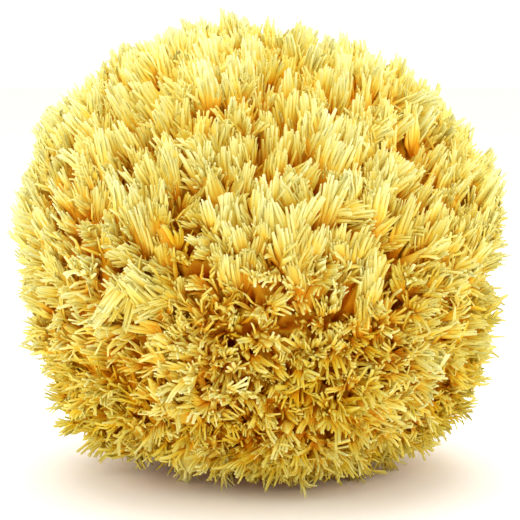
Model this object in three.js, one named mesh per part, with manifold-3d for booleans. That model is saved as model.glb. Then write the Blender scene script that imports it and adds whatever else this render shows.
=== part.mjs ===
// A sea wool sponge: the dried skeleton of one animal, a dome of soft yellow fibre.
// It grew outwards from a foot on the sea bed, so its tufts all point away from one place
// low down inside it. It was cut off the rock, and it rests on that flat cut.
// The whole skeleton is one continuous piece, so it is one mesh.
// Millimetres, +Z up, +Y away from the front. The origin is the middle of the cut face.
import * as THREE from "three";
import { mergeVertices } from "three/addons/utils/BufferGeometryUtils.js";
import Module from "manifold-3d";

// Overall size over the tips of the tufts.
const WIDTH = 140;
const DEPTH = 114;
const HEIGHT = 127;

// The dome is round above its widest level and fuller, with softer corners, below it.
const WIDEST_AT = 65;
const SQUARENESS_ABOVE = 2;
const SQUARENESS_BELOW = 2.85;
const SQUARENESS_ACROSS = 2.05;
const CROWN_LEAN = -5.5; // how far the very top stands to one side
const CUT_AWAY = 4.5; // how much of the grown shape is missing below the cut
const GROWTH_CENTRE = new THREE.Vector3(4, 0, 40); // where the tufts point away from

// Tufts: one low pyramid each, with a valley all round it.
const TUFT_DETAIL = 8; // 20 * (TUFT_DETAIL + 1)^2 tufts over the closed shape
const VALLEY_DEPTH = 4.2;
const TUFT_UNEVENNESS = 1.3; // how far the tips stand out of line
const TUFT_SCATTER = 0.32; // sideways wander of tips and valleys, as a share of their spacing

// Broad lobes, as waves over the surface: how many radians per millimetre, and how high.
const LOBES = [
  { along: new THREE.Vector3(0.052, 0.031, 0.047), phase: 6.15, height: 0.6 },
  { along: new THREE.Vector3(-0.071, 0.064, 0.058), phase: 4.75, height: 0.6 },
  { along: new THREE.Vector3(0.113, 0.021, -0.094), phase: 2.0, height: 0.7 },
];

// Clefts between lobes: a groove that runs up the side from `from` to `to`.
const CLEFTS = [
  { from: [10, -60, 0], to: [12, -58, 20], width: 3.5, depth: 4 },
  { from: [-22, -60, 0], to: [-20, -60, 13], width: 3.5, depth: 4.5 },
  { from: [33, -52, 96], to: [22, -40, 113], width: 6, depth: 4 },
  { from: [-28, -50, 103], to: [-22, -38, 119], width: 6, depth: 3 },
  { from: [-72, -12, 84], to: [-62, -24, 96], width: 5, depth: 3 },
  { from: [72, 6, 52], to: [68, -18, 60], width: 5, depth: 3.5 },
  { from: [-30, 58, 0], to: [-34, 52, 34], width: 6, depth: 4.5 },
  { from: [26, 56, 50], to: [14, 48, 96], width: 7, depth: 4 },
].map(({ from, to, width, depth }) => ({
  line: new THREE.Line3(new THREE.Vector3(...from), new THREE.Vector3(...to)),
  width,
  depth,
}));

// A number from 0 to 1 that depends only on which point and which use it is for.
function scatter(index, use) {
  const wave = Math.sin(index * 12.9898 + use * 78.233 + 4.1) * 43758.5453;
  return wave - Math.floor(wave);
}

// How far `point` lies out from the middle of the plain dome: 1 on its surface.
function domeLevel(point) {
  const above = point.z > WIDEST_AT;
  const squareness = above ? SQUARENESS_ABOVE : SQUARENESS_BELOW;
  const rise = above ? HEIGHT - WIDEST_AT : WIDEST_AT + CUT_AWAY;
  const lean = above ? CROWN_LEAN * ((point.z - WIDEST_AT) / rise) ** 2 : 0;
  const across =
    Math.abs((2 * (point.x - lean)) / WIDTH) ** SQUARENESS_ACROSS +
    Math.abs((2 * point.y) / DEPTH) ** SQUARENESS_ACROSS;
  return (
    across ** (squareness / SQUARENESS_ACROSS) +
    Math.abs((point.z - WIDEST_AT) / rise) ** squareness
  );
}

// The distance from the growth centre to the plain dome in `direction`, by halving.
function domeReach(direction) {
  let inside = 0;
  let outside = WIDTH;
  for (let step = 0; step < 40; step += 1) {
    const middle = (inside + outside) / 2;
    const point = direction.clone().multiplyScalar(middle).add(GROWTH_CENTRE);
    if (domeLevel(point) < 1) inside = middle;
    else outside = middle;
  }
  return inside;
}

// How far the lobes lift the surface at `point`, less how deep the clefts cut it.
function lobeLift(point) {
  let lift = 0;
  for (const { along, phase, height } of LOBES) lift += height * Math.sin(along.dot(point) + phase);
  for (const { line, width, depth } of CLEFTS) {
    const nearest = line.closestPointToPoint(point, true, new THREE.Vector3());
    lift -= depth * Math.exp(-((nearest.distanceTo(point) / width) ** 2));
  }
  return lift;
}

// The point on the lobed dome in `direction`, `inset` millimetres towards the growth centre.
function surfacePoint(direction, inset) {
  const point = direction.clone().multiplyScalar(domeReach(direction)).add(GROWTH_CENTRE);
  const lift = lobeLift(point) - inset;
  return point.addScaledVector(direction, lift);
}

// `direction` moved sideways by a share of the tuft spacing.
function wander(direction, index) {
  const spacing = 1.1 / (TUFT_DETAIL + 1);
  const drift = new THREE.Vector3(scatter(index, 1), scatter(index, 2), scatter(index, 3));
  drift.subScalar(0.5).multiplyScalar(spacing * TUFT_SCATTER * 2);
  return direction.clone().add(drift).normalize();
}

// The closed skeleton before it is cut: every cell of an icosphere is one tuft, whose
// corners are the valleys and whose middle is the tip.
function grownShape() {
  const cells = new THREE.IcosahedronGeometry(1, TUFT_DETAIL);
  cells.deleteAttribute("normal");
  cells.deleteAttribute("uv");
  const net = mergeVertices(cells, 1e-4);
  const corners = net.getAttribute("position");
  const faces = net.index.array;
  const directions = [];
  const points = [];
  for (let i = 0; i < corners.count; i += 1) {
    const direction = wander(new THREE.Vector3().fromBufferAttribute(corners, i), i);
    const inset = VALLEY_DEPTH + TUFT_UNEVENNESS * scatter(i, 4);
    directions.push(direction);
    points.push(surfacePoint(direction, inset));
  }
  const triangles = [];
  for (let f = 0; f < faces.length; f += 3) {
    const [a, b, c] = [faces[f], faces[f + 1], faces[f + 2]];
    const middle = directions[a].clone().add(directions[b]).add(directions[c]).normalize();
    const tip = points.length;
    points.push(surfacePoint(middle, TUFT_UNEVENNESS * scatter(f, 5)));
    triangles.push(a, b, tip, b, c, tip, c, a, tip);
  }
  const shape = new THREE.BufferGeometry();
  shape.setAttribute(
    "position",
    new THREE.Float32BufferAttribute(points.flatMap((p) => p.toArray()), 3),
  );
  shape.setIndex(triangles);
  return shape;
}

// A manifold-3d solid with the same surface as `geometry`.
function solidOf(wasm, geometry) {
  return new wasm.Manifold(
    new wasm.Mesh({
      numProp: 3,
      vertProperties: geometry.getAttribute("position").array,
      triVerts: new Uint32Array(geometry.index.array),
    }),
  );
}

// The grown shape with everything below the cut taken away.
async function cutFlat(shape) {
  const wasm = await Module();
  wasm.setup();
  const rock = new THREE.BoxGeometry(2 * WIDTH, 2 * DEPTH, HEIGHT);
  rock.translate(0, 0, -HEIGHT / 2);
  rock.deleteAttribute("normal");
  rock.deleteAttribute("uv");
  const cut = solidOf(wasm, shape).subtract(solidOf(wasm, mergeVertices(rock, 1e-4)));
  const mesh = cut.getMesh();
  const geometry = new THREE.BufferGeometry();
  geometry.setAttribute("position", new THREE.BufferAttribute(mesh.vertProperties, 3));
  geometry.setIndex(new THREE.BufferAttribute(mesh.triVerts, 1));
  return geometry;
}

// Sets the solid to its stated width, depth and height, over the middle of the cut.
function fitToSize(geometry) {
  geometry.computeBoundingBox();
  const size = geometry.boundingBox.getSize(new THREE.Vector3());
  const middle = geometry.boundingBox.getCenter(new THREE.Vector3());
  geometry.translate(-middle.x, -middle.y, 0);
  geometry.scale(WIDTH / size.x, DEPTH / size.y, HEIGHT / size.z);
  geometry.computeVertexNormals();
  return geometry;
}

const fibre = new THREE.MeshStandardMaterial({
  color: new THREE.Color(0.86, 0.76, 0.42),
  roughness: 0.95,
  metalness: 0,
  flatShading: true,
});

const skeleton = new THREE.Mesh(fitToSize(await cutFlat(grownShape())), fibre);
skeleton.name = "sponge_skeleton";

const sponge = new THREE.Group();
sponge.add(skeleton);

export default sponge;
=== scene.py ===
"""A sea wool sponge: a dome of soft yellow fibre that rests on the flat cut where it left the rock.

The skeleton is one grown thing, modelled in three layers. A body of dense mesh lies deep down,
columns of fibre stand on it and all point away from the foot that the sponge grew from, and
tufts fray out of the sides and ends of the columns. Lengths are in metres.
"""

from __future__ import annotations

import logging
import math
import random
from dataclasses import dataclass, field
from enum import Enum, IntEnum
from typing import Any, Mapping, NamedTuple, Sequence

import bpy
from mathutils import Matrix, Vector


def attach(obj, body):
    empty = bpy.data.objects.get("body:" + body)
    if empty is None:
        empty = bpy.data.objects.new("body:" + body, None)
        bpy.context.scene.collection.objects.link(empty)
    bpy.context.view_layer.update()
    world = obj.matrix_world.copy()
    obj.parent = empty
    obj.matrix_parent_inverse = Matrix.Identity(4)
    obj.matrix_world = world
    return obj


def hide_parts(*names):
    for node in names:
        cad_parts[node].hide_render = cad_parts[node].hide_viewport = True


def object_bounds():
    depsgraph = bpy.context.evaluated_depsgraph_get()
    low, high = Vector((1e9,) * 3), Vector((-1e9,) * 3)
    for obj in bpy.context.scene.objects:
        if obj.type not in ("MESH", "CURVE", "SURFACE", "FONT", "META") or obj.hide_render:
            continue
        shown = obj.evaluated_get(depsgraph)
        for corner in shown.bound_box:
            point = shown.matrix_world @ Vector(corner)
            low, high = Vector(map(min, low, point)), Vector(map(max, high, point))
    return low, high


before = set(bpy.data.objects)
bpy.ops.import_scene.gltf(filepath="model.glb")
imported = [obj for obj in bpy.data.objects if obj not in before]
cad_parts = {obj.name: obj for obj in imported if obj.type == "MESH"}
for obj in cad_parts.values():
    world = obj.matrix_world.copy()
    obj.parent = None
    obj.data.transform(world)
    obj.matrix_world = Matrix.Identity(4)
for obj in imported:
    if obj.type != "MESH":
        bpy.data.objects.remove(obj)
CAD_LOW, CAD_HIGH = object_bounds()

LOG = logging.getLogger("sea_sponge")
MM = 0.001
SKELETON_NODE = "sponge_skeleton"
BODY = "root"
BAKE_MAP = "OFBake"
GOLDEN_ANGLE = math.pi * (3.0 - math.sqrt(5.0))
COLUMN_FLATNESS = 0.62  # a column's depth beside its breadth
LONGEST_REACH = 100.0 * MM  # how far away the skin is looked for
NOISE_MIDDLE = (0.5, 0.5, 0.5)

Colour = tuple[float, float, float]


class Quarter(Enum):
    """Which quarter of the sponge a piece covers, as the signs of X and Y there."""

    FRONT_LEFT = (-1, -1)
    FRONT_RIGHT = (1, -1)
    BACK_LEFT = (-1, 1)
    BACK_RIGHT = (1, 1)


class Zone(Enum):
    """Which columns a kind of tuft grows on."""

    ALL = 0
    UPPER = 1
    LOWER = -1


class RootDraw(IntEnum):
    """The seed of each random number that a column's root draws."""

    LENGTH = 21
    WIDTH = 22
    DEPTH = 23
    TONE = 24
    GAP = 25
    ZONE = 26


class TuftDraw(IntEnum):
    """What is added to a kind's seed for each random number that its tufts draw."""

    SHARE = 1
    TURN = 2
    SPLAY = 3
    SIZE = 4
    TONE = 5
    VARIANT = 6
    PROUD = 7


class Pattern(Enum):
    """Which pattern of smooth noise each thing follows."""

    TONE = 1.3
    WAVES = 2.2
    BROAD_LEAN = 3.1
    PORES = 4.4
    SIDES = 5.7
    CLUMPS = 6.1
    FINE_LEAN = 8.4


class Climb(NamedTuple):
    """A value that goes evenly from low to high as a height, or another length, goes from its
    bottom to its top, and that is held beyond them.
    """

    bottom: float
    top: float
    low: float
    high: float


# How much painted light a point of fibre gets, standing in for how lit it is: what it gains from its
# rise over the skin and from its tuft's end, and the painted shade it gets at its strand's sides.
PAINTED_LIGHT_BY_RISE = Climb(-8.5 * MM, 1.5 * MM, 0.0, 0.62)
PAINTED_LIGHT_BY_END = 0.40
PAINTED_SHADE_BY_SIDE = 0.24


class Term:
    """A value that a node tree works out, which takes part in Python expressions."""

    def __init__(self, graph: "Graph", socket: bpy.types.NodeSocket, vector: bool) -> None:
        """Wraps one output socket.

        Args:
            graph: The tree that the socket is in.
            socket: The output socket.
            vector: Whether it carries three numbers rather than one.
        """
        self.graph = graph
        self.socket = socket
        self.vector = vector

    def __add__(self, other: Any) -> "Term":
        """Self plus other."""
        return self.graph.combine("ADD", self, other)

    def __radd__(self, other: Any) -> "Term":
        """Other plus self."""
        return self.graph.combine("ADD", other, self)

    def __sub__(self, other: Any) -> "Term":
        """Self less other."""
        return self.graph.combine("SUBTRACT", self, other)

    def __rsub__(self, other: Any) -> "Term":
        """Other less self."""
        return self.graph.combine("SUBTRACT", other, self)

    def __mul__(self, other: Any) -> "Term":
        """Self times other."""
        return self.graph.combine("MULTIPLY", self, other)

    def __rmul__(self, other: Any) -> "Term":
        """Other times self."""
        return self.graph.combine("MULTIPLY", other, self)

    def __truediv__(self, other: Any) -> "Term":
        """Self over other."""
        return self.graph.combine("DIVIDE", self, other)

    def __pow__(self, other: Any) -> "Term":
        """Self to the power of other."""
        return self.graph.combine("POWER", self, other)

    def unit(self) -> "Term":
        """This vector at a length of one."""
        return self.graph.combine("NORMALIZE", self)

    def cross(self, other: "Term") -> "Term":
        """The vector at right angles to this one and to another."""
        return self.graph.combine("CROSS_PRODUCT", self, other)


class Made:
    """A node that has been added, whose outputs are looked up by name."""

    def __init__(self, graph: "Graph", node: bpy.types.Node) -> None:
        """Wraps one node of a graph."""
        self.graph = graph
        self.node = node

    def __getitem__(self, name: str) -> Term:
        """The output in use that has this name."""
        socket = next(s for s in self.node.outputs if s.enabled and s.name == name)
        return Term(self.graph, socket, socket.type in {"VECTOR", "RGBA"})


class Graph:
    """A node tree, of geometry or of a material, that grows as expressions are written."""

    def __init__(self, tree: bpy.types.NodeTree) -> None:
        """Starts on an empty tree."""
        self.tree = tree

    def add(
        self,
        kind: str,
        settings: Mapping[str, Any] | None = None,
        inputs: Mapping[str | int, Any] | None = None,
    ) -> Made:
        """Adds a node.

        Args:
            kind: The node's type.
            settings: Its own properties, which are set first. "stops" are a ramp's colour stops.
            inputs: Values or terms for its input sockets, by name or by number.

        Returns:
            The node, ready for its outputs to be read.
        """
        node = self.tree.nodes.new(kind)
        for name, value in (settings or {}).items():
            if name == "stops":
                self._set_stops(node.color_ramp, value)
            else:
                setattr(node, name, value)
        for key, value in (inputs or {}).items():
            self._feed(self._input(node, key), value)
        return Made(self, node)

    def combine(self, operation: str, *values: Any) -> Term:
        """Adds a Math node, or a Vector Math node if any of the values is a vector.

        Args:
            operation: The node's operation.
            *values: Terms or plain numbers and triples.

        Returns:
            The result.
        """
        vectors = [v.vector if isinstance(v, Term) else hasattr(v, "__len__") for v in values]
        if not any(vectors):
            made = self.add("ShaderNodeMath", {"operation": operation}, dict(enumerate(values)))
            return made["Value"]
        if operation == "MULTIPLY" and not all(vectors):
            number, triple = reversed(values) if vectors[0] else values
            inputs = {0: triple, "Scale": number}
            return self.add("ShaderNodeVectorMath", {"operation": "SCALE"}, inputs)["Vector"]
        made = self.add("ShaderNodeVectorMath", {"operation": operation}, dict(enumerate(values)))
        return made["Vector"]

    def clamp_low(self, value: Term, lowest: Any) -> Term:
        """The value, but never under the lowest."""
        return self.combine("MAXIMUM", value, lowest)

    def dot(self, first: Term, second: Term) -> Term:
        """How far one vector reaches along another."""
        settings = {"operation": "DOT_PRODUCT"}
        return self.add("ShaderNodeVectorMath", settings, {0: first, 1: second})["Value"]

    def ramp(self, value: Term, start: float, end: float, low: Any, high: Any) -> Term:
        """The value mapped from one range onto another, and held at its ends."""
        inputs = {"Value": value, "From Min": start, "From Max": end, "To Min": low, "To Max": high}
        return self.add("ShaderNodeMapRange", {"clamp": True}, inputs)["Result"]

    def parts(self, vector: Term) -> tuple[Term, Term, Term]:
        """The X, Y and Z of a vector."""
        made = self.add("ShaderNodeSeparateXYZ", None, {"Vector": vector})
        return made["X"], made["Y"], made["Z"]

    def joined(self, x: Any, y: Any, z: Any) -> Term:
        """A vector of three numbers."""
        return self.add("ShaderNodeCombineXYZ", None, {"X": x, "Y": y, "Z": z})["Vector"]

    def colour_mix(self, share: Any, first: Any, second: Any, blend: str = "MIX") -> Term:
        """Two colours mixed by a share from 0 to 1."""
        settings = {"data_type": "RGBA", "blend_type": blend}
        return self.add("ShaderNodeMix", settings, {"Factor": share, "A": first, "B": second})["Result"]

    @staticmethod
    def _input(node: bpy.types.Node, key: str | int) -> bpy.types.NodeSocket:
        """The input socket in use that has this name or number."""
        if isinstance(key, int):
            return node.inputs[key]
        return next(s for s in node.inputs if s.enabled and s.name == key)

    def _feed(self, socket: bpy.types.NodeSocket, value: Any) -> None:
        """Links a term to a socket, or sets a plain value on it."""
        if isinstance(value, Term):
            self.tree.links.new(value.socket, socket)
        else:
            socket.default_value = value

    @staticmethod
    def _set_stops(ramp: bpy.types.ColorRamp, stops: Sequence[tuple[float, Sequence[float]]]) -> None:
        """Sets a colour ramp's stops."""
        while len(ramp.elements) < len(stops):
            ramp.elements.new(1.0)
        for element, (position, colour) in zip(ramp.elements, stops):
            element.position = position
            element.color = (*colour, 1.0)


class Recipe(Graph):
    """A Geometry Nodes tree with named inputs, which turns one object into a plain mesh."""

    def __init__(self, name: str) -> None:
        """Starts a tree that takes one geometry and gives one back."""
        super().__init__(bpy.data.node_groups.new(name, "GeometryNodeTree"))
        self.tree.interface.new_socket("Geometry", in_out="INPUT", socket_type="NodeSocketGeometry")
        self.tree.interface.new_socket("Geometry", in_out="OUTPUT", socket_type="NodeSocketGeometry")
        self.entry = self.tree.nodes.new("NodeGroupInput")
        self.identifiers: dict[str, str] = {}

    def ask(self, name: str, kind: str) -> Term:
        """Adds a named input.

        Args:
            name: What the input is called.
            kind: Its type: Float, Int, Vector, Collection, Object or Material.

        Returns:
            The input, as a term.
        """
        item = self.tree.interface.new_socket(name, in_out="INPUT", socket_type=f"NodeSocket{kind}")
        self.identifiers[name] = item.identifier
        socket = next(s for s in self.entry.outputs if s.identifier == item.identifier)
        return Term(self, socket, kind == "Vector")

    def start(self) -> Term:
        """The geometry that comes in."""
        return Term(self, self.entry.outputs[0], False)

    def end(self, geometry: Term) -> None:
        """Sends the finished geometry out."""
        leaving = self.tree.nodes.new("NodeGroupOutput")
        self.tree.links.new(geometry.socket, leaving.inputs[0])

    def position(self) -> Term:
        """Where each point is."""
        return self.add("GeometryNodeInputPosition")["Position"]

    def noise(
        self, place: Term, wavelength: float, pattern: Pattern, detail: float = 0.0
    ) -> Term:
        """A smooth random vector over space, each part from about -0.5 to 0.5.

        Args:
            place: Where it is looked up.
            wavelength: How far apart its swells are.
            pattern: Which of its patterns is taken.
            detail: How much finer noise rides on it.

        Returns:
            The random vector.
        """
        inputs = {
            "Vector": place,
            "W": pattern.value,
            "Scale": 1.0 / wavelength,
            "Detail": detail,
        }
        made = self.add("ShaderNodeTexNoise", {"noise_dimensions": "4D"}, inputs)
        return made["Color"] - NOISE_MIDDLE

    def chance(self, low: Any, high: Any, seed: Any) -> Term:
        """A random number for each point."""
        inputs = {"Min": low, "Max": high, "Seed": seed}
        return self.add("FunctionNodeRandomValue", {"data_type": "FLOAT"}, inputs)["Value"]

    def recall(self, name: str, kind: str = "FLOAT") -> Term:
        """An attribute that the geometry carries."""
        made = self.add("GeometryNodeInputNamedAttribute", {"data_type": kind}, {"Name": name})
        return made["Attribute"]

    def store(
        self, geometry: Term, name: str, value: Term, kind: str = "FLOAT", domain: str = "POINT"
    ) -> Term:
        """Writes an attribute onto the geometry and gives the geometry back."""
        settings = {"data_type": kind, "domain": domain}
        inputs = {"Geometry": geometry, "Name": name, "Value": value}
        return self.add("GeometryNodeStoreNamedAttribute", settings, inputs)["Geometry"]

    def moved(self, geometry: Term, offset: Term) -> Term:
        """The geometry with every point moved by an offset."""
        inputs = {"Geometry": geometry, "Offset": offset}
        return self.add("GeometryNodeSetPosition", None, inputs)["Geometry"]

    def placed(self, geometry: Term, position: Term) -> Term:
        """The geometry with every point set to a position."""
        inputs = {"Geometry": geometry, "Position": position}
        return self.add("GeometryNodeSetPosition", None, inputs)["Geometry"]

    def without(self, geometry: Term, value: Term, least: float) -> Term:
        """The geometry less every point whose value is under the least."""
        settings = {"data_type": "FLOAT", "operation": "LESS_THAN"}
        under = self.add("FunctionNodeCompare", settings, {"A": value, "B": least})["Result"]
        inputs = {"Geometry": geometry, "Selection": under}
        return self.add("GeometryNodeDeleteGeometry", {"domain": "POINT"}, inputs)["Geometry"]

    def aimed(self, axis: Term, letter: str, other: Term) -> Term:
        """A turn that points Z along an axis, and X or Y as near as it can to another vector."""
        settings = {"primary_axis": "Z", "secondary_axis": letter}
        inputs = {"Primary Axis": axis, "Secondary Axis": other}
        return self.add("FunctionNodeAxesToRotation", settings, inputs)["Rotation"]

    def planted(
        self, points: Term, shapes: Term, variants: int, seed: int, rotation: Term, scale: Term
    ) -> Term:
        """Stands one instance on each point.

        Args:
            points: Where they stand.
            shapes: The collection of variants that each is picked from.
            variants: How many there are.
            seed: Fixes which is picked.
            rotation: How each is turned.
            scale: How large each is, along its own axes.

        Returns:
            The instances.
        """
        held = {"Collection": shapes, "Separate Children": True, "Reset Children": True}
        limits = {"Min": 0, "Max": variants - 1, "Seed": seed}
        number = self.add("FunctionNodeRandomValue", {"data_type": "INT"}, limits)["Value"]
        inputs = {
            "Points": points,
            "Instance": self.add("GeometryNodeCollectionInfo", None, held)["Instances"],
            "Pick Instance": True,
            "Instance Index": number,
            "Rotation": rotation,
            "Scale": scale,
        }
        return self.add("GeometryNodeInstanceOnPoints", None, inputs)["Instances"]

    def mesh_of(self, thing: Term) -> Term:
        """The mesh of an object."""
        return self.add("GeometryNodeObjectInfo", None, {"Object": thing})["Geometry"]

    def realized(self, instances: Term) -> Term:
        """Instances made into real mesh."""
        return self.add("GeometryNodeRealizeInstances", None, {"Geometry": instances})["Geometry"]

    def painted(self, geometry: Term, material: Term) -> Term:
        """The geometry with a material set on it."""
        inputs = {"Geometry": geometry, "Material": material}
        return self.add("GeometryNodeSetMaterial", None, inputs)["Geometry"]

    def cook(self, name: str, source: bpy.types.Object, values: Mapping[str, Any]) -> bpy.types.Object:
        """Runs the tree on an object.

        Args:
            name: The name of the new object.
            source: The object that goes in, which is left as it was.
            values: A value for each named input.

        Returns:
            A new object that holds the result as a plain mesh.
        """
        modifier = source.modifiers.new(self.tree.name, "NODES")
        modifier.node_group = self.tree
        for label, value in values.items():
            modifier[self.identifiers[label]] = value
        source.update_tag()
        bpy.context.view_layer.update()
        graph = bpy.context.evaluated_depsgraph_get()
        mesh = bpy.data.meshes.new_from_object(source.evaluated_get(graph), depsgraph=graph)
        source.modifiers.remove(modifier)
        mesh.name = name
        made = bpy.data.objects.new(name, mesh)
        bpy.context.scene.collection.objects.link(made)
        return made


@dataclass(frozen=True)
class Finish:
    """How one kind of surface looks. Each kind says where its own colour comes from."""

    name: str
    roughness: float = 0.9
    glow: float = 0.0  # the share of the light that scatters inside
    glow_reach: Colour = (1.0, 0.45, 0.10)
    glow_scale: float = 2.0 * MM

    def colour(self, graph: Graph) -> Term:
        """The surface's colour."""
        raise NotImplementedError

    def build(self) -> bpy.types.Material:
        """Makes the material.

        Returns:
            The new material.
        """
        material = bpy.data.materials.new(self.name)
        material.use_nodes = True
        material.node_tree.nodes.clear()
        graph = Graph(material.node_tree)
        inputs = {
            "Base Color": self.colour(graph),
            "Roughness": self.roughness,
            "Subsurface Weight": self.glow,
            "Subsurface Radius": self.glow_reach,
            "Subsurface Scale": self.glow_scale,
            "Specular IOR Level": 0.0,
        }
        settings = {"subsurface_method": "RANDOM_WALK"}
        shader = graph.add("ShaderNodeBsdfPrincipled", settings, inputs)["BSDF"]
        graph.add("ShaderNodeOutputMaterial", None, {"Surface": shader})
        return material


@dataclass(frozen=True)
class FibreFinish(Finish):
    """Spongin fibre, straw-coloured, with painted light at its tips and painted gold to red-brown shade
    deep down.

    The colour depends only on the piece's own map: across it, the tone of a tuft, and up it, how
    much painted light or painted shade a point gets.
    """

    name: str = "spongin_fibre"
    # painted light and shade: shut-in fibre painted gold to red-brown, open fibre painted light straw
    painted_light_ramp: tuple[tuple[float, Colour], ...] = (
        (0.0, (0.70, 0.20, 0.004)),
        (0.22, (0.87, 0.42, 0.012)),
        (0.45, (0.90, 0.66, 0.042)),
        (0.75, (0.92, 0.84, 0.200)),
        (1.0, (0.97, 0.93, 0.420)),
    )
    warm: Colour = (0.84, 0.76, 0.52)
    # painted highlight laid over the open tips of light-toned tufts
    painted_highlight: Colour = (0.98, 0.96, 0.56)
    painted_highlight_share: float = 0.60

    def colour(self, graph: Graph) -> Term:
        """The painted light and shade at a depth, darker in warm tufts, with a painted highlight at the
        open tips of light-toned ones.
        """
        place = graph.add("ShaderNodeUVMap", {"uv_map": BAKE_MAP})["UV"]
        tone, painted_light, _ = graph.parts(place)
        depth = graph.add("ShaderNodeValToRGB", {"stops": self.painted_light_ramp}, {"Fac": painted_light})["Color"]
        warmed = graph.colour_mix(1.0 - tone, depth, (*self.warm, 1.0), "MULTIPLY")
        # painted highlight, strongest where the fibre is most open
        painted_lift = tone * painted_light * painted_light * self.painted_highlight_share
        return graph.colour_mix(painted_lift, warmed, (*self.painted_highlight, 1.0))


@dataclass(frozen=True)
class BodyFinish(Finish):
    """The dense mesh deep between the columns: orange ochre, darker red-brown down its pores, partly
    its own colour and partly painted shade.
    """

    name: str = "deep_skeleton"
    glow: float = 0.25
    # partly painted shade: the pore floors are darker red-brown than the ochre ridges
    floor: Colour = (0.45, 0.060, 0.003)
    slope: Colour = (0.76, 0.25, 0.008)
    ridge: Colour = (0.86, 0.44, 0.022)
    stain: Colour = (0.80, 0.62, 0.35)
    stain_share: float = 0.55
    stain_size: float = 9.0 * MM
    stain_edges: tuple[float, float] = (0.35, 0.7)
    stain_detail: float = 3.0

    def colour(self, graph: Graph) -> Term:
        """The colour from a pore's floor up to its ridge, darker down the pore partly as painted shade,
        with stains over it.
        """
        height = graph.add("ShaderNodeAttribute", {"attribute_name": "ridge"})["Fac"]
        stops = ((0.0, self.floor), (0.5, self.slope), (1.0, self.ridge))
        plain = graph.add("ShaderNodeValToRGB", {"stops": stops}, {"Fac": height})["Color"]
        place = graph.add("ShaderNodeTexCoord")["Object"]
        inputs = {"Vector": place, "Scale": 1.0 / self.stain_size, "Detail": self.stain_detail}
        stains = graph.add("ShaderNodeTexNoise", None, inputs)["Fac"]
        share = graph.ramp(stains, *self.stain_edges, 0.0, self.stain_share)
        return graph.colour_mix(share, plain, (*self.stain, 1.0), "MULTIPLY")


@dataclass
class Strands:
    """Fine closed strands gathered into one small mesh, one unit long from foot to tip.

    Each point carries how far along the tuft it is, and how far round from a side of its strand
    to the front or the back, which the colour uses to paint shade on the strand's sides.
    """

    points: list[Vector] = field(default_factory=list)
    faces: list[tuple[int, ...]] = field(default_factory=list)
    along: list[float] = field(default_factory=list)
    front: list[float] = field(default_factory=list)

    def add(
        self,
        line: Sequence[Vector],
        radii: Sequence[float],
        across: Vector,
        outline: Sequence[tuple[float, float]],
        shares: tuple[float, float],
        twist: float = 0.0,
    ) -> None:
        """Adds one strand, closed at both ends.

        Args:
            line: The points that its middle follows.
            radii: How thick it is at each of them, where a 0 at an end is a point.
            across: The direction of its width.
            outline: The corners of its section, as shares of the thickness.
            shares: How far along the tuft its foot and its end are, from 0 to 1.
            twist: How far the section turns from foot to end, in radians.
        """
        rings: list[list[int]] = []
        last = len(line) - 1
        for i, (middle, radius) in enumerate(zip(line, radii)):
            ahead = (line[min(i + 1, last)] - line[max(i - 1, 0)]).normalized()
            side = (across - ahead * across.dot(ahead)).normalized()
            up = ahead.cross(side)
            share = shares[0] + (shares[1] - shares[0]) * i / last
            cosine, sine = math.cos(twist * i / last), math.sin(twist * i / last)
            corners = [(0.0, 0.0)] if radius == 0.0 else outline
            indices = []
            for x, y in corners:
                offset = side * (x * cosine - y * sine) + up * (x * sine + y * cosine)
                indices.append(len(self.points))
                self.points.append(middle + offset * radius)
                self.along.append(share)
                # how far round to the strand's front; its sides get painted shade from this
                self.front.append(share if radius == 0.0 else abs(math.sin(math.atan2(y, x))))
            rings.append(indices)
        for lower, upper in zip(rings, rings[1:]):
            for k in range(len(outline)):
                following = (k + 1) % len(outline)
                if len(upper) == 1:
                    self.faces.append((lower[k], lower[following], upper[0]))
                elif len(lower) == 1:
                    self.faces.append((lower[0], upper[following], upper[k]))
                else:
                    self.faces.append((lower[k], lower[following], upper[following], upper[k]))
        if len(rings[0]) > 1:
            self.faces.append(tuple(reversed(rings[0])))
        if len(rings[-1]) > 1:
            self.faces.append(tuple(rings[-1]))

    def as_object(self, name: str, collection: bpy.types.Collection) -> bpy.types.Object:
        """Makes the strands a mesh object in a collection.

        Args:
            name: The object's name.
            collection: Where it goes.

        Returns:
            The new object.
        """
        mesh = bpy.data.meshes.new(name)
        mesh.from_pydata(self.points, [], self.faces)
        for label, values in (("along", self.along), ("front", self.front)):
            attribute = mesh.attributes.new(label, "FLOAT", "POINT")
            attribute.data.foreach_set("value", values)
        mesh.shade_smooth()
        made = bpy.data.objects.new(name, mesh)
        collection.objects.link(made)
        return made


def round_outline(corners: int, thin: float = 1.0) -> list[tuple[float, float]]:
    """The corners of a round or flattened section.

    Args:
        corners: How many there are.
        thin: The section's thickness as a share of its width.

    Returns:
        The corners, anticlockwise.
    """
    angles = [2.0 * math.pi * k / corners for k in range(corners)]
    return [(math.cos(a), thin * math.sin(a)) for a in angles]


def fluted_outline(flutes: int, valley: float) -> list[tuple[float, float]]:
    """The corners of a section with ridges and valleys by turns.

    Args:
        flutes: How many ridges there are.
        valley: How far out the valleys are, as a share of the ridges.

    Returns:
        The corners, anticlockwise.
    """
    corners = []
    for k in range(2 * flutes):
        angle = math.pi * k / flutes
        reach = valley if k % 2 else 1.0
        corners.append((reach * math.cos(angle), reach * math.sin(angle)))
    return corners


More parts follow.
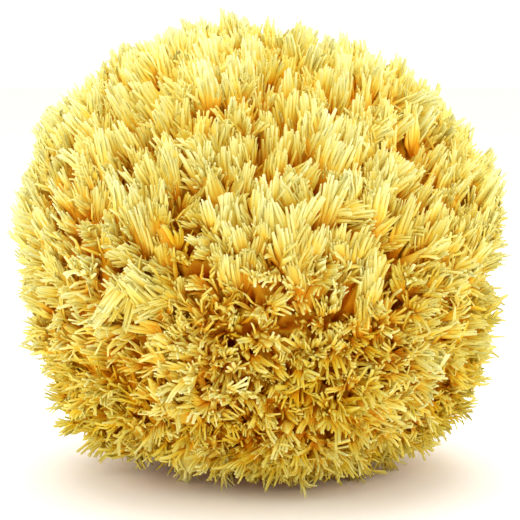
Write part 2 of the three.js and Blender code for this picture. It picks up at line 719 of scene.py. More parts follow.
@dataclass(frozen=True)
class TuftShape:
    """How one kind of tuft is made: a tongue of webbed fibre that frays into strands at its end."""

    name: str
    strands: int
    breadth: float  # half the tuft's width, as a share of its length
    thickness: float  # half a strand's width, as a share of the length
    fan: float  # how far the outermost tips spread, as a share of the length
    ragged: float  # how much shorter than the longest a strand may be, as a share
    crown: float  # how much shorter the outermost strands are than the middle ones, as a share
    curl: float  # how far tips bend out of the tuft's plane, as a share of the length
    web: float  # how far up the web between the strands reaches, as a share of the length
    fullness: float = 0.3  # how thick the web is, as a share of its width
    blunt: float = 0.5  # how thick a strand's end is, beside its middle
    bends: tuple[float, ...] = (0.0, 0.5, 1.0)  # where along itself a strand bends
    variants: int = 5
    cupping: tuple[float, float] = (-0.2, 0.5)  # how deep it is cupped, as a share of the breadth
    # The web's middle, as how deep in the cup it stands, how far up it is, and half its width.
    web_line: tuple[tuple[float, float, float], ...] = (
        (0.0, 0.0, 0.45),
        (0.2, 0.55, 0.88),
        (0.3, 1.0, 0.35),
    )
    web_breadth: tuple[float, float] = (0.85, 1.05)
    web_corners: int = 6
    foot_breadth: float = 0.35  # how broad a tuft's foot is, beside its middle
    broad_from: float = 0.5  # where along it a tuft has its full breadth
    frays_from: float = 0.35  # where along it the strands begin to bend away
    fan_curve: float = 1.5  # over 1, the fan opens mostly near the tips
    curl_range: tuple[float, float] = (-0.5, 1.0)
    stray: float = 0.35  # how far a strand strays from its place, as a share of the fan
    width_range: tuple[float, float] = (0.8, 1.2)
    tilt: float = 0.25  # how far the outermost strands are turned about themselves
    strand_corners: int = 3
    strand_flatness: float = 0.8

    def build(self, seed: int) -> bpy.types.Collection:
        """Makes the variants of this tuft.

        Args:
            seed: Fixes what is random.

        Returns:
            A collection with one object for each variant.
        """
        collection = bpy.data.collections.new(self.name)
        chance = random.Random(seed)
        for number in range(self.variants):
            self._variant(chance).as_object(f"{self.name}_{number}", collection)
        return collection

    def _variant(self, chance: random.Random) -> Strands:
        """Makes one variant, along +Z, with its web in the XZ plane."""
        strands = Strands()
        cup = self.breadth * chance.uniform(*self.cupping)
        if self.web > 0.0:
            width = self.breadth * chance.uniform(*self.web_breadth)
            line = [Vector((0.0, cup * depth, up * self.web)) for depth, up, _ in self.web_line]
            radii = [half * width for _, _, half in self.web_line]
            outline = round_outline(self.web_corners, self.fullness)
            strands.add(line, radii, Vector((1.0, 0.0, 0.0)), outline, (0.0, self.web))
        for number in range(self.strands):
            spread = 2.0 * (number + 0.5) / self.strands - 1.0
            layer = self.fullness * self.breadth * (0.5 if number % 2 else -0.5)
            self._strand(strands, spread, cup, layer, chance)
        return strands

    def _strand(
        self, strands: Strands, spread: float, cup: float, layer: float, chance: random.Random
    ) -> None:
        """Adds one strand.

        Args:
            strands: The tuft's strands so far.
            spread: Where it stands across the tuft, from -1 at one side to 1 at the other.
            cup: How deep the tuft is cupped.
            layer: How far it lies in front of the tuft's middle plane, or behind it.
            chance: The source of what is random.
        """
        reach = (1.0 - self.crown * spread * spread) * (1.0 - self.ragged * chance.random())
        bend = self.curl * chance.uniform(*self.curl_range)
        stray = self.fan * chance.uniform(-self.stray, self.stray)
        line = []
        for share in self.bends:
            opened = self.foot_breadth + (1.0 - self.foot_breadth) * min(1.0, share / self.broad_from)
            free = max(0.0, share - self.frays_from) / (1.0 - self.frays_from)
            x = self.breadth * spread * opened + (self.fan * spread + stray) * free**self.fan_curve
            y = layer + cup * spread * spread * opened + bend * free * free
            line.append(Vector((x, y, share * reach)))
        width = self.thickness * chance.uniform(*self.width_range)
        across = Vector((1.0, self.tilt * spread, 0.0))
        radii = [0.0] + [width] * (len(line) - 2) + [self.blunt * width]
        outline = round_outline(self.strand_corners, self.strand_flatness)
        strands.add(line, radii, across, outline, (0.0, 1.0))


@dataclass
class SpongeForm:
    """The grown shape that every layer follows: a smooth skin just under the tips of the tufts."""

    skin_grain: float = 1.7 * MM
    smoothing: int = 14
    smoothing_share: float = 0.5
    weld_distance: float = 0.01 * MM
    foot: Vector = field(default_factory=lambda: Vector((4.0, 0.0, 31.0)) * MM)
    seed: int = 11

    # Columns. Each range is what one column draws from, as a share of the plain size.
    column_spacing: float = 4.9 * MM
    densest: float = 3.0e6  # the most columns in a square metre
    column_length: float = 14.0 * MM
    length_range: tuple[float, float] = (0.8, 1.15)
    tallness: Climb = Climb(0.0, 95.0 * MM, 0.9, 1.25)
    least_length: float = 4.0 * MM
    column_width: float = 2.2 * MM
    width_range: tuple[float, float] = (0.65, 1.35)
    column_sink: float = 2.0 * MM
    sink_range: tuple[float, float] = (0.0, 2.0)
    least_depth: float = 11.0 * MM
    shy: float = 1.5 * MM  # how far under the skin a column ends

    # Which way columns point.
    facing_share: float = 0.35  # how far they follow the skin rather than point away from the foot
    least_rise: float = 0.45  # the least that a column points out of the skin
    comb: float = 0.9  # how strongly the upper columns point upwards
    combed: tuple[float, float] = (38.0 * MM, 88.0 * MM)  # the heights over which that sets in
    lean: float = 2.0
    broad_lean: float = 24.0 * MM  # how far apart the broad swells of the lean are
    fine_lean: float = 9.0 * MM
    fine_share: float = 0.5
    calming: Climb = Climb(50.0 * MM, 90.0 * MM, 1.0, 0.5)  # how much of the lean is left
    side_size: float = 2.0 * MM  # how soon the columns' flat sides turn another way

    # Clumps of columns that lean together.
    clump_size: float = 11.0 * MM
    clump_stretch: float = 0.6  # under 1, clumps are taller than they are wide
    clump_wander: float = 8.0 * MM
    wander_size: float = 14.0 * MM
    pull: Climb = Climb(40.0 * MM, 85.0 * MM, 0.5, 1.15)  # how strongly they lean together
    relief: float = 5.5 * MM  # how much lower the fibre is between clumps
    swelling: float = 1.0 * MM  # how much higher it is in the middle of one
    clump_edge: float = 0.28  # how far in from a clump's edge it is at its highest

    # Where columns are missing, where the kinds of tuft change over, and each column's tone, which
    # painted light from above makes lighter higher up and darker low down.
    gap_share: float = 0.12
    gaps_left: Climb = Climb(65.0 * MM, 95.0 * MM, 1.0, 0.25)
    upper_share: Climb = Climb(32.0 * MM, 76.0 * MM, 0.0, 1.0)
    tone_range: tuple[float, float] = (0.15, 0.85)
    tone_swell: float = 1.2
    tone_size: float = 30.0 * MM
    # painted light from above: columns higher up are lighter in tone, low ones darker
    painted_light_by_height: Climb = Climb(10.0 * MM, 95.0 * MM, -0.3, 0.45)

    def skin(self) -> bpy.types.Object:
        """Makes the smooth skin from the solid skeleton.

        Returns:
            A helper object that isn't part of the sponge.
        """
        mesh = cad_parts[SKELETON_NODE].data.copy()
        skin = bpy.data.objects.new("skin_helper", mesh)
        bpy.context.scene.collection.objects.link(skin)
        weld = skin.modifiers.new("weld", "WELD")
        weld.merge_threshold = self.weld_distance
        remesh = skin.modifiers.new("remesh", "REMESH")
        remesh.mode = "VOXEL"
        remesh.voxel_size = self.skin_grain
        smooth = skin.modifiers.new("smooth", "SMOOTH")
        smooth.factor = self.smoothing_share
        smooth.iterations = self.smoothing
        graph = bpy.context.evaluated_depsgraph_get()
        final = bpy.data.meshes.new_from_object(skin.evaluated_get(graph), depsgraph=graph)
        skin.modifiers.clear()
        skin.data = final
        return skin

    def _clumps(self, recipe: Recipe, place: Term) -> tuple[Term, Term]:
        """Parts the skin into clumps of columns.

        Args:
            recipe: The tree.
            place: Where on the skin.

        Returns:
            The way to the middle of the clump, where 1 is the size of a clump, and how far
            inside its edge the place is, from 0 to about 0.5.
        """
        wandering = place + recipe.noise(place, self.wander_size, Pattern.CLUMPS) * self.clump_wander
        stretched = wandering * (1.0, 1.0, self.clump_stretch)
        inputs = {"Vector": stretched, "Scale": 1.0 / self.clump_size}
        middle = recipe.add("ShaderNodeTexVoronoi", {"feature": "F1"}, inputs)["Position"]
        edge = recipe.add("ShaderNodeTexVoronoi", {"feature": "DISTANCE_TO_EDGE"}, inputs)["Distance"]
        spans = (self.clump_size, self.clump_size, self.clump_size * self.clump_stretch)
        across = (middle - stretched) / spans
        return across, edge

    def roots(self, skin: bpy.types.Object) -> bpy.types.Object:
        """Plants the roots of the columns under the skin.

        Args:
            skin: The smooth skin.

        Returns:
            A helper object with one point for each column, which carries its axis, its side
            direction, the way out of the skin, its length and width, its relief, its tone and
            its zone.
        """
        recipe = Recipe("plant_roots")
        spacing = recipe.ask("Spacing", "Float")
        length = recipe.ask("Length", "Float")
        sink = recipe.ask("Sink", "Float")
        width = recipe.ask("Width", "Float")
        foot = recipe.ask("Foot", "Vector")
        lean = recipe.ask("Lean", "Float")
        comb = recipe.ask("Comb", "Float")
        gaps = recipe.ask("Gap Share", "Float")
        seed = recipe.ask("Seed", "Int")
        scattered = recipe.add(
            "GeometryNodeDistributePointsOnFaces",
            {"distribute_method": "POISSON"},
            {
                "Mesh": recipe.start(),
                "Distance Min": spacing,
                "Density Max": self.densest,
                "Density Factor": 1.0,
                "Seed": seed,
            },
        )
        place = recipe.position()
        outwards = (place - foot).unit()
        _, _, height = recipe.parts(place)
        sway = recipe.noise(place, self.broad_lean, Pattern.BROAD_LEAN) * lean
        fine_sway = recipe.noise(place, self.fine_lean, Pattern.FINE_LEAN)
        sway = sway + fine_sway * (lean * self.fine_share)
        sway = sway * recipe.ramp(height, *self.calming)
        gather, inside = self._clumps(recipe, place)
        gather = gather * recipe.ramp(height, *self.pull)
        upwards = recipe.joined(0.0, 0.0, recipe.ramp(height, *self.combed, 0.0, comb))
        normal = scattered["Normal"]
        plain = outwards * (1.0 - self.facing_share) + normal * self.facing_share
        axis = (plain + upwards + sway + gather).unit()
        flatness = recipe.clamp_low(self.least_rise - recipe.dot(axis, normal), 0.0)
        axis = (axis + normal * flatness).unit()
        side = axis.cross(recipe.noise(place, self.side_size, Pattern.SIDES)).unit()
        tallness = recipe.ramp(height, *self.tallness)
        own_length = length * tallness * recipe.chance(*self.length_range, RootDraw.LENGTH)
        own_width = width * recipe.chance(*self.width_range, RootDraw.WIDTH)
        depth = own_length + sink * recipe.chance(*self.sink_range, RootDraw.DEPTH)
        relief = recipe.ramp(inside, 0.0, self.clump_edge, -self.relief, self.swelling)
        sunk = recipe.clamp_low(self.least_depth - recipe.dot(axis, normal) * depth, 0.0)
        root = place - axis * depth - normal * sunk
        room = reach_to(recipe, recipe.start(), root, axis) + relief - self.shy
        own_length = recipe.combine("MINIMUM", own_length, room)
        own_length = recipe.clamp_low(own_length, self.least_length)
        swell = recipe.parts(recipe.noise(place, self.tone_size, Pattern.TONE))[0]
        tone = recipe.chance(*self.tone_range, RootDraw.TONE) + swell * self.tone_swell
        # painted light from above: tone rises with height
        tone = tone + recipe.ramp(height, *self.painted_light_by_height)
        zone = recipe.ramp(height, *self.upper_share) - recipe.chance(0.0, 1.0, RootDraw.ZONE)
        missing = recipe.chance(0.0, 1.0, RootDraw.GAP) - gaps * recipe.ramp(height, *self.gaps_left)
        points = scattered["Points"]
        for name, vector in (("axis", axis), ("side", side), ("out", normal)):
            points = recipe.store(points, name, vector, "FLOAT_VECTOR")
        numbers = {
            "relief": relief,
            "length": own_length,
            "width": own_width,
            "tone": tone,
            "zone": zone,
            "missing": missing,
        }
        for name, number in numbers.items():
            points = recipe.store(points, name, number)
        points = recipe.placed(points, root)
        points = recipe.without(points, recipe.recall("missing"), 0.0)
        recipe.end(recipe.add("GeometryNodePointsToVertices", None, {"Points": points})["Mesh"])
        return recipe.cook(
            "roots_helper",
            skin,
            {
                "Spacing": self.column_spacing,
                "Length": self.column_length,
                "Sink": self.column_sink,
                "Width": self.column_width,
                "Foot": self.foot,
                "Lean": self.lean,
                "Comb": self.comb,
                "Gap Share": self.gap_share,
                "Seed": self.seed,
            },
        )


@dataclass(frozen=True)
class Settling:
    """How fibre is waved as it grew, and kept to the outline of the sponge."""

    sway: float
    sway_size: float  # how far apart the waves are
    proud: float = 2.4 * MM  # how far tips may stand out of the skin
    trim: float = 0.8  # the share of what stands further out that is taken back
    soft: float = 0.4  # how far the fibre is shaded like the smooth skin around it
    sway_detail: float = 1.0
    floor: float = 0.15 * MM  # the lowest that fibre hangs

    def apply(self, recipe: Recipe, geometry: Term, skin: Term) -> Term:
        """Waves the fibre and evens its tips.

        Args:
            recipe: The tree.
            geometry: The fibre.
            skin: The smooth skin's mesh.

        Returns:
            The settled fibre.
        """
        place = recipe.position()
        waves = recipe.noise(place, self.sway_size, Pattern.WAVES, self.sway_detail)
        geometry = recipe.moved(geometry, waves * self.sway)
        place = recipe.position()
        nearest = recipe.add(
            "GeometryNodeProximity",
            {"target_element": "FACES"},
            {"Geometry": skin, "Sample Position": place},
        )["Position"]
        facing = recipe.add("GeometryNodeInputNormal")["Normal"]
        normal = recipe.add(
            "GeometryNodeSampleNearestSurface",
            {"data_type": "FLOAT_VECTOR"},
            {"Mesh": skin, "Value": facing, "Sample Position": place},
        )["Value"]
        rise = recipe.dot(place - nearest, normal)
        over = recipe.clamp_low(rise - self.proud, 0.0)
        geometry = recipe.store(geometry, "skin_normal", normal, "FLOAT_VECTOR")
        geometry = recipe.store(geometry, "rise", rise - over * self.trim)
        geometry = recipe.moved(geometry, normal * over * -self.trim)
        x, y, z = recipe.parts(recipe.position())
        geometry = recipe.placed(geometry, recipe.joined(x, y, recipe.clamp_low(z, self.floor)))
        own = recipe.add("GeometryNodeInputNormal")["Normal"]
        soft = own * (1.0 - self.soft) + recipe.recall("skin_normal", "FLOAT_VECTOR") * self.soft
        settings = {"mode": "FREE", "domain": "POINT"}
        inputs = {"Mesh": geometry, "Custom Normal": soft.unit()}
        return recipe.add("GeometryNodeSetMeshNormal", settings, inputs)["Mesh"]


def reach_to(recipe: Recipe, skin: Term, start: Term, direction: Term) -> Term:
    """Measures how far it is to the skin.

    Args:
        recipe: The tree.
        skin: The smooth skin's mesh.
        start: Where it is measured from.
        direction: Which way, as a vector one long.

    Returns:
        The distance, or 0 where the skin isn't met.
    """
    inputs = {
        "Target Geometry": skin,
        "Source Position": start,
        "Ray Direction": direction,
        "Ray Length": LONGEST_REACH,
    }
    return recipe.add("GeometryNodeRaycast", {"data_type": "FLOAT"}, inputs)["Hit Distance"]


def mapped(recipe: Recipe, geometry: Term) -> Term:
    """Writes the map that the fibre's colour is read from.

    Args:
        recipe: The tree.
        geometry: The fibre, which carries its tone, its rise, and how far along its tuft and how
            far round to its strand's front each point is.

    Returns:
        The fibre with its map: across it the tone, and up it the painted light and shade of a point.
    """
    tone = recipe.ramp(recipe.recall("tuft_tone"), 0.0, 1.0, 0.0, 1.0)
    # painted light: fibre risen to the skin is lighter, fibre deep under it is painted gold to
    # red-brown shade
    outermost = recipe.ramp(recipe.recall("rise"), *PAINTED_LIGHT_BY_RISE)
    # painted shade on each strand's sides
    side_shade = 1.0 - recipe.recall("front")
    painted_light = outermost + recipe.recall("along") * PAINTED_LIGHT_BY_END - side_shade * PAINTED_SHADE_BY_SIDE
    kept = recipe.ramp(painted_light, 0.0, 1.0, 0.0, 1.0)
    return recipe.store(geometry, BAKE_MAP, recipe.joined(tone, kept, 0.0), "FLOAT2", "CORNER")


@dataclass
class SkeletonBody:
    """The dense mesh that the columns stand on, with pores, and flat where it was cut."""

    form: SpongeForm
    finish: bpy.types.Material
    name: str = "skeleton_body"
    inset: float = 9.0 * MM
    pore_size: float = 6.0 * MM
    pore_depth: float = 7.0 * MM
    cut_pore_depth: float = 2.5 * MM
    pore_wander: float = 3.0 * MM
    wander_size: float = 6.0 * MM
    pore_edges: tuple[float, float] = (0.02, 0.34)  # a pore's wall, as shares of its size
    cut_edge: Climb = Climb(0.3 * MM, 1.5 * MM, 0.0, 1.0)  # 0 on the cut and 1 on the sides

    def build(self, skin: bpy.types.Object) -> bpy.types.Object:
        """Makes the body from the skin.

        Args:
            skin: The smooth skin.

        Returns:
            The finished piece.
        """
        recipe = Recipe("sink_body")
        foot = recipe.ask("Foot", "Vector")
        inset = recipe.ask("Inset", "Float")
        depth = recipe.ask("Pore Depth", "Float")
        cut_depth = recipe.ask("Cut Pore Depth", "Float")
        material = recipe.ask("Finish", "Material")
        place = recipe.position()
        _, _, height = recipe.parts(place)
        wander = place + recipe.noise(place, self.wander_size, Pattern.PORES) * self.pore_wander
        cells = recipe.add(
            "ShaderNodeTexVoronoi",
            {"feature": "DISTANCE_TO_EDGE"},
            {"Vector": wander, "Scale": 1.0 / self.pore_size},
        )["Distance"]
        ridge = recipe.ramp(cells, *self.pore_edges, 1.0, 0.0)
        geometry = recipe.store(recipe.start(), "ridge", ridge)
        lifted = recipe.ramp(height, *self.cut_edge)
        ridge = recipe.recall("ridge")
        outwards = (place - foot).unit()
        x, y, z = recipe.parts(outwards)
        sides = recipe.joined(x, y, z * lifted)
        pores = (1.0 - ridge) * depth * lifted
        cut = recipe.joined(0.0, 0.0, (1.0 - lifted) * (1.0 - ridge) * cut_depth)
        geometry = recipe.moved(geometry, cut - sides * (pores + inset))
        recipe.end(recipe.painted(geometry, material))
        values = {
            "Foot": self.form.foot,
            "Inset": self.inset,
            "Pore Depth": self.pore_depth,
            "Cut Pore Depth": self.cut_pore_depth,
            "Finish": self.finish,
        }
        body = recipe.cook(self.name, skin, values)
        body.data.shade_smooth()
        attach(body, BODY)
        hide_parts(SKELETON_NODE)
        return body


@dataclass
class FibreColumns:
    """The columns: long fluted tongues of fibre, each on its own root."""

    finish: bpy.types.Material
    name: str = "fibre_columns"
    flutes: int = 4
    valley: float = 0.62  # how far out the valleys between flutes are, beside the flutes
    heights: tuple[float, ...] = (0.0, 0.4, 0.72, 0.92, 1.0)
    widths: tuple[float, ...] = (0.9, 1.0, 0.74, 0.36, 0.0)
    width_range: tuple[float, float] = (0.85, 1.15)
    twist: float = 1.2  # the most that a column turns about itself, in radians
    variants: int = 5
    seed: int = 5
    pick_seed: int = 31
    settling: Settling = Settling(5.0 * MM, 10.0 * MM, -1.2 * MM)

    def build(self, roots: bpy.types.Object, skin: bpy.types.Object) -> bpy.types.Object:
        """Grows the columns.

        Args:
            roots: The helper that carries the roots.
            skin: The smooth skin.

        Returns:
            The finished piece.
        """
        recipe = Recipe("grow_columns")
        shapes = recipe.ask("Columns", "Collection")
        surface = recipe.ask("Skin", "Object")
        material = recipe.ask("Finish", "Material")
        axis = recipe.recall("axis", "FLOAT_VECTOR")
        side = recipe.recall("side", "FLOAT_VECTOR")
        width = recipe.recall("width")
        points = recipe.store(recipe.start(), "tuft_tone", recipe.recall("tone"))
        turned = recipe.aimed(axis, "X", side)
        scale = recipe.joined(width, width * COLUMN_FLATNESS, recipe.recall("length"))
        grown = recipe.planted(points, shapes, self.variants, self.pick_seed, turned, scale)
        geometry = self.settling.apply(recipe, recipe.realized(grown), recipe.mesh_of(surface))
        recipe.end(recipe.painted(mapped(recipe, geometry), material))
        values = {"Columns": self._shapes(), "Skin": skin, "Finish": self.finish}
        columns = recipe.cook(self.name, roots, values)
        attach(columns, BODY)
        return columns

    def _shapes(self) -> bpy.types.Collection:
        """Makes the variants of one column, one unit long and one unit in radius."""
        collection = bpy.data.collections.new("column_shapes")
        chance = random.Random(self.seed)
        for number in range(self.variants):
            strands = Strands()
            line = [Vector((0.0, 0.0, h)) for h in self.heights]
            widths = [w * chance.uniform(*self.width_range) for w in self.widths]
            twist = chance.uniform(-self.twist, self.twist)
            outline = fluted_outline(self.flutes, self.valley)
            strands.add(line, widths, Vector((1.0, 0.0, 0.0)), outline, (0.0, 1.0), twist)
            strands.as_object(f"column_{number}", collection)
        return collection


@dataclass(frozen=True)
class TuftKind:
    """One kind of tuft, and how it stands on the columns."""

    name: str
    shape: TuftShape
    each: int  # how many stand on a column
    share: tuple[float, float]  # how far up the column they stand, as shares of its length
    splay: float  # how far they lean away from the column's axis
    length: float
    seed: int
    zone: Zone = Zone.ALL
    facing: float = 0.0  # how far tufts show their flat side outwards, from 0 to 1
    settling: Settling = Settling(4.5 * MM, 6.0 * MM)
    least_length: float = 3.5 * MM

    # How far one tuft may differ from the next: ranges as shares of the plain value.
    turn_range: tuple[float, float] = (-0.5, 0.5)  # in radians
    splay_range: tuple[float, float] = (0.4, 1.5)
    size_range: tuple[float, float] = (0.75, 1.15)
    tone_range: tuple[float, float] = (-0.2, 0.2)
    proud_range: tuple[float, float] = (0.2, 1.7)

    # How tufts change with their height on the sponge and with their column's width.
    spread: Climb = Climb(25.0 * MM, 85.0 * MM, 1.6, 0.6)
    tallness: Climb = Climb(0.0, CAD_HIGH.z, 0.8, 1.15)
    stoutness: Climb = Climb(1.2 * MM, 2.6 * MM, 0.8, 1.2)

    # Where a column's side is, as a share of its width, and how it closes towards its end.
    side_share: float = 0.8
    closing: float = 2.2


@dataclass
class FibreTufts:
    """One kind of tuft, set on every column of one quarter or of the whole sponge."""

    finish: bpy.types.Material
    kind: TuftKind
    quarter: Quarter | None = None

    @property
    def name(self) -> str:
        """The piece's name."""
        return f"{self.kind.name}_{self.quarter.name.lower()}" if self.quarter else self.kind.name

    def build(self, roots: bpy.types.Object, skin: bpy.types.Object) -> bpy.types.Object:
        """Grows the tufts.

        Args:
            roots: The helper that carries the roots.
            skin: The smooth skin.

        Returns:
            The finished piece.
        """
        kind = self.kind
        recipe = Recipe(f"grow_{self.name}")
        shapes = recipe.ask("Tufts", "Collection")
        surface = recipe.ask("Skin", "Object")
        each = recipe.ask("Each", "Int")
        lowest = recipe.ask("Lowest", "Float")
        highest = recipe.ask("Highest", "Float")
        splay = recipe.ask("Splay", "Float")
        size = recipe.ask("Length", "Float")
        material = recipe.ask("Finish", "Material")
        doubled = recipe.add(
            "GeometryNodeDuplicateElements",
            {"domain": "POINT"},
            {"Geometry": self._kept(recipe, recipe.start()), "Amount": each},
        )
        drawn = recipe.chance(lowest, highest, kind.seed + TuftDraw.SHARE)
        points = recipe.store(doubled["Geometry"], "share", drawn)
        turned = recipe.chance(*kind.turn_range, kind.seed + TuftDraw.TURN)
        points = recipe.store(points, "turn", doubled["Duplicate Index"] * GOLDEN_ANGLE + turned)
        share, turn = recipe.recall("share"), recipe.recall("turn")
        axis = recipe.recall("axis", "FLOAT_VECTOR")
        side = recipe.recall("side", "FLOAT_VECTOR")
        out = recipe.recall("out", "FLOAT_VECTOR")
        width = recipe.recall("width") * (1.0 - share**kind.closing) * kind.side_share
        outwards = side * recipe.combine("COSINE", turn) * width
        flat = recipe.combine("SINE", turn) * width * COLUMN_FLATNESS
        outwards = outwards + axis.cross(side) * flat
        _, _, height = recipe.parts(recipe.position())
        splayed = recipe.chance(*kind.splay_range, kind.seed + TuftDraw.SPLAY)
        own_splay = splay * recipe.ramp(height, *kind.spread) * splayed
        away = (outwards.unit() * (1.0 - kind.facing) + out * kind.facing).unit()
        ahead = (axis + away * own_splay).unit()
        foot = recipe.position() + axis * (recipe.recall("length") * share) + outwards
        tallness = recipe.ramp(height, *kind.tallness)
        stoutness = recipe.ramp(recipe.recall("width"), *kind.stoutness)
        sized = recipe.chance(*kind.size_range, kind.seed + TuftDraw.SIZE)
        wanted = size * tallness * stoutness * sized
        outline = recipe.mesh_of(surface)
        stands_out = recipe.chance(*kind.proud_range, kind.seed + TuftDraw.PROUD)
        proud = kind.settling.proud * stands_out + recipe.recall("relief")
        room = reach_to(recipe, outline, foot, ahead) + proud
        length = recipe.clamp_low(recipe.combine("MINIMUM", wanted, room), kind.least_length)
        girth = (wanted + length) * 0.5
        tone = recipe.recall("tone") + recipe.chance(*kind.tone_range, kind.seed + TuftDraw.TONE)
        points = recipe.store(points, "tuft_tone", tone)
        points = recipe.store(points, "foot", foot, "FLOAT_VECTOR")
        rotation = recipe.aimed(ahead, "Y", away)
        scale = recipe.joined(girth, girth, length)
        pick_seed = kind.seed + TuftDraw.VARIANT
        grown = recipe.planted(points, shapes, kind.shape.variants, pick_seed, rotation, scale)
        grown = recipe.placed(grown, recipe.recall("foot", "FLOAT_VECTOR"))
        geometry = kind.settling.apply(recipe, recipe.realized(grown), outline)
        recipe.end(recipe.painted(mapped(recipe, geometry), material))
        values = {
            "Tufts": kind.shape.build(kind.seed),
            "Skin": skin,
            "Each": kind.each,
            "Lowest": kind.share[0],
            "Highest": kind.share[1],
            "Splay": kind.splay,
            "Length": kind.length,
            "Finish": self.finish,
        }
        tufts = recipe.cook(self.name, roots, values)
        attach(tufts, BODY)
        return tufts

    def _kept(self, recipe: Recipe, roots: Term) -> Term:
        """The roots in this piece's zone and quarter of the sponge."""
        x, y, _ = recipe.parts(recipe.position())
        signs = self.quarter.value if self.quarter else (0, 0)
        tests = [(recipe.recall("zone"), self.kind.zone.value), (x, signs[0]), (y, signs[1])]
        for value, sign in tests:
            if sign != 0:
                roots = recipe.without(roots, value * sign, 0.0)
        return roots


@dataclass(frozen=True)
class Lamp:
    """One soft round lamp that points at the middle of the sponge."""

    name: str
    place: tuple[float, float, float]
    size: float
    power: float  # in watts


@dataclass
class Studio:
    """A white floor and surround, soft lamps, and the camera."""

    floor_size: float = 6.0
    floor_colour: Colour = (0.97, 0.955, 0.935)
    floor_roughness: float = 0.9
    surround: float = 1.09
    surround_colour: Colour = (1.0, 0.97, 0.935)
    lens: float = 105.0
    elevation: float = math.radians(8.5)
    distance: float = 0.422
    bounces: int = 12
    aim: Vector = field(default_factory=lambda: Vector((0.0, 0.0, 58.5)) * MM)
    lamps: tuple[Lamp, ...] = (
        Lamp("overhead", (0.0, 0.20, 0.75), 0.9, 4.5),
        Lamp("left", (-0.75, -0.15, 0.40), 0.6, 2.0),
        Lamp("right", (0.75, -0.15, 0.40), 0.6, 1.5),
    )

    def build(self) -> None:
        """Makes the floor, the lamps, the surround and the camera."""
        self._floor()
        self._surround()
        for lamp in self.lamps:
            self._hang(lamp)
        self._camera()
        scene = bpy.context.scene
        scene.view_settings.view_transform = "Standard"
        scene.view_settings.look = "None"
        scene.cycles.diffuse_bounces = self.bounces

    def _floor(self) -> None:
        """Lays the pale floor."""
        half = self.floor_size / 2.0
        mesh = bpy.data.meshes.new("studio_floor")
        corners = [(-half, -half, 0.0), (half, -half, 0.0), (half, half, 0.0), (-half, half, 0.0)]
        mesh.from_pydata(corners, [], [(0, 1, 2, 3)])
        material = bpy.data.materials.new("studio_floor")
        material.use_nodes = True
        shader = material.node_tree.nodes["Principled BSDF"]
        shader.inputs["Base Color"].default_value = (*self.floor_colour, 1.0)
        shader.inputs["Roughness"].default_value = self.floor_roughness
        mesh.materials.append(material)
        floor = bpy.data.objects.new("studio_floor", mesh)
        bpy.context.scene.collection.objects.link(floor)

    def _surround(self) -> None:
        """Lights the sponge evenly from all round."""
        world = bpy.data.worlds.new("studio_surround")
        world.use_nodes = True
        background = world.node_tree.nodes["Background"]
        background.inputs["Color"].default_value = (*self.surround_colour, 1.0)
        background.inputs["Strength"].default_value = self.surround
        bpy.context.scene.world = world

    def _hang(self, lamp: Lamp) -> None:
        """Hangs one lamp."""
        light = bpy.data.lights.new(lamp.name, "AREA")
        light.shape = "DISK"
        light.size = lamp.size
        light.energy = lamp.power
        hung = bpy.data.objects.new(lamp.name, light)
        hung.location = lamp.place
        hung.rotation_mode = "QUATERNION"
        hung.rotation_quaternion = (self.aim - Vector(lamp.place)).to_track_quat("-Z", "Y")
        bpy.context.scene.collection.objects.link(hung)

    def _camera(self) -> None:
        """Sets up the camera, a little above the middle of the sponge and in front of it."""
        data = bpy.data.cameras.new("studio_camera")
        data.lens = self.lens
        camera = bpy.data.objects.new("studio_camera", data)
        back = Vector((0.0, -math.cos(self.elevation), math.sin(self.elevation)))
        camera.location = self.aim + back * self.distance
        camera.rotation_mode = "QUATERNION"
        camera.rotation_quaternion = (-back).to_track_quat("-Z", "Y")
        bpy.context.scene.collection.objects.link(camera)
        bpy.context.scene.camera = camera


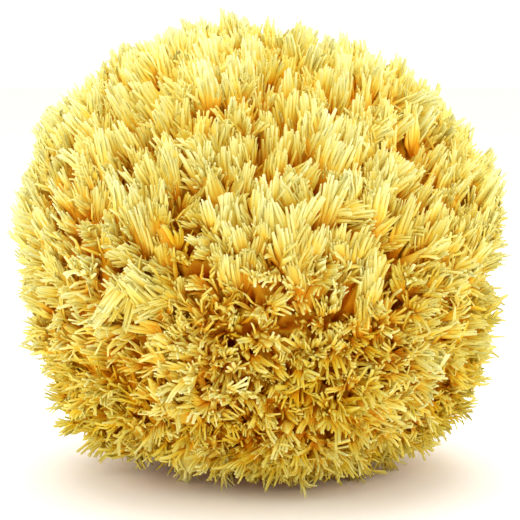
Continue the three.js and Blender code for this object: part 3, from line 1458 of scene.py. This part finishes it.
BLADES = TuftKind(
    name="blades",
    shape=TuftShape(
        name="blade",
        strands=8,
        breadth=0.165,
        thickness=0.040,
        fan=0.0,
        ragged=0.13,
        crown=0.40,
        curl=0.07,
        web=0.82,
        fullness=0.23,
        blunt=0.45,
    ),
    each=3,
    share=(0.10, 0.62),
    splay=0.10,
    length=17.5 * MM,
    seed=100,
    zone=Zone.UPPER,
    facing=0.7,
)
FRINGES = TuftKind(
    name="fringes",
    shape=TuftShape(
        name="fringe",
        strands=5,
        breadth=0.150,
        thickness=0.046,
        fan=0.08,
        ragged=0.42,
        crown=0.15,
        curl=0.34,
        web=0.55,
        fullness=0.10,
        blunt=0.75,
        bends=(0.0, 0.4, 0.72, 1.0),
    ),
    each=4,
    share=(0.22, 0.85),
    splay=0.28,
    length=10.5 * MM,
    seed=120,
    zone=Zone.LOWER,
    facing=0.2,
    settling=Settling(4.5 * MM, 6.0 * MM, 3.2 * MM),
)
WISPS = TuftKind(
    name="wisps",
    shape=TuftShape(
        name="wisp",
        strands=1,
        breadth=0.0,
        thickness=0.060,
        fan=0.3,
        ragged=0.3,
        crown=0.0,
        curl=0.5,
        web=0.0,
        blunt=0.7,
        bends=(0.0, 0.35, 0.7, 1.0),
    ),
    each=4,
    share=(0.25, 0.95),
    splay=0.60,
    length=6.5 * MM,
    seed=200,
)


def report(piece: bpy.types.Object) -> None:
    """Logs a finished piece and how many triangles it has."""
    triangles = sum(len(p.vertices) - 2 for p in piece.data.polygons)
    LOG.info("%s: %d triangles", piece.name, triangles)


def main() -> None:
    """Builds the sponge and the studio, and notes how large it came out."""
    logging.basicConfig(level=logging.INFO, format="%(message)s")
    form = SpongeForm()
    fibre = FibreFinish().build()
    deep = BodyFinish().build()
    skin = form.skin()
    roots = form.roots(skin)
    LOG.info("columns: %d", len(roots.data.vertices))
    report(SkeletonBody(form, deep).build(skin))
    report(FibreColumns(fibre).build(roots, skin))
    for quarter in Quarter:
        for kind in (BLADES, FRINGES):
            report(FibreTufts(fibre, kind, quarter).build(roots, skin))
    report(FibreTufts(fibre, WISPS).build(roots, skin))
    for helper in (skin, roots):
        bpy.data.objects.remove(helper)
    Studio().build()


if __name__ == "__main__":
    main()
